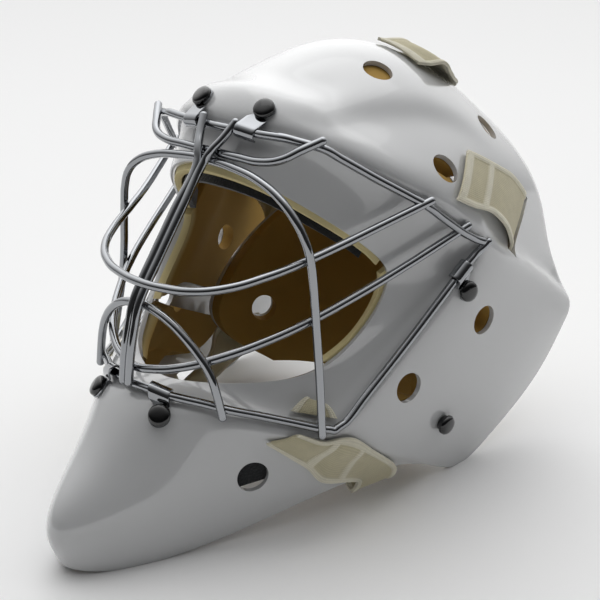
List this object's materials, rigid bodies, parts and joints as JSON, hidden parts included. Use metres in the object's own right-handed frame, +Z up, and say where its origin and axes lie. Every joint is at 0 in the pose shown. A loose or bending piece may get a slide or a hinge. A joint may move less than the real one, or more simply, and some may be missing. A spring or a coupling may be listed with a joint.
{
  "type": "hockey goalie mask",
  "caption": "Moulded goalie mask with a pointed chin, a clipped-on wire cage, foam liners and a padded back plate on elastic straps.",
  "frame": {"origin": "middle of the footprint, on the surface that the mask lies on", "axes": "+Z up, the face looks along -Y, the wearer's left is +X"},
  "size_m": [0.2528, 0.3462, 0.2609],
  "materials": {
    "shell": "glossy white lacquered fibreglass",
    "cage": "chrome-plated steel rod",
    "clip": "nickel-plated steel strip",
    "screw": "black truss-head screws",
    "foam": "closed-cell foam, tan",
    "black_foam": "black brushed knit over foam",
    "elastic": "woven elastic webbing, cream",
    "back_plate": "glossy white moulded plastic"
  },
  "bodies": {
    "root": {"shell": "shell", "cage": "cage", "sweatband": "black_foam", "back_plate": "back_plate", "back_pad": "foam", "top_strap": "elastic", "forehead_liner": "foam", "crown_liner": "foam", "chin_pad": "black_foam", "side_liner_left": "foam", "jaw_liner_left": "foam", "side_strap_left": "elastic", "lower_strap_left": "elastic", "screw_top_left": "screw", "clip_top_left": "clip", "screw_side_left": "screw", "clip_side_left": "clip", "screw_low_left": "screw", "clip_low_left": "clip", "screw_rear_left": "screw", "side_liner_right": "foam", "jaw_liner_right": "foam", "side_strap_right": "elastic", "lower_strap_right": "elastic", "screw_top_right": "screw", "clip_top_right": "clip", "screw_side_right": "screw", "clip_side_right": "clip", "screw_low_right": "screw", "clip_low_right": "clip", "screw_rear_right": "screw"}
  },
  "joints": []
}
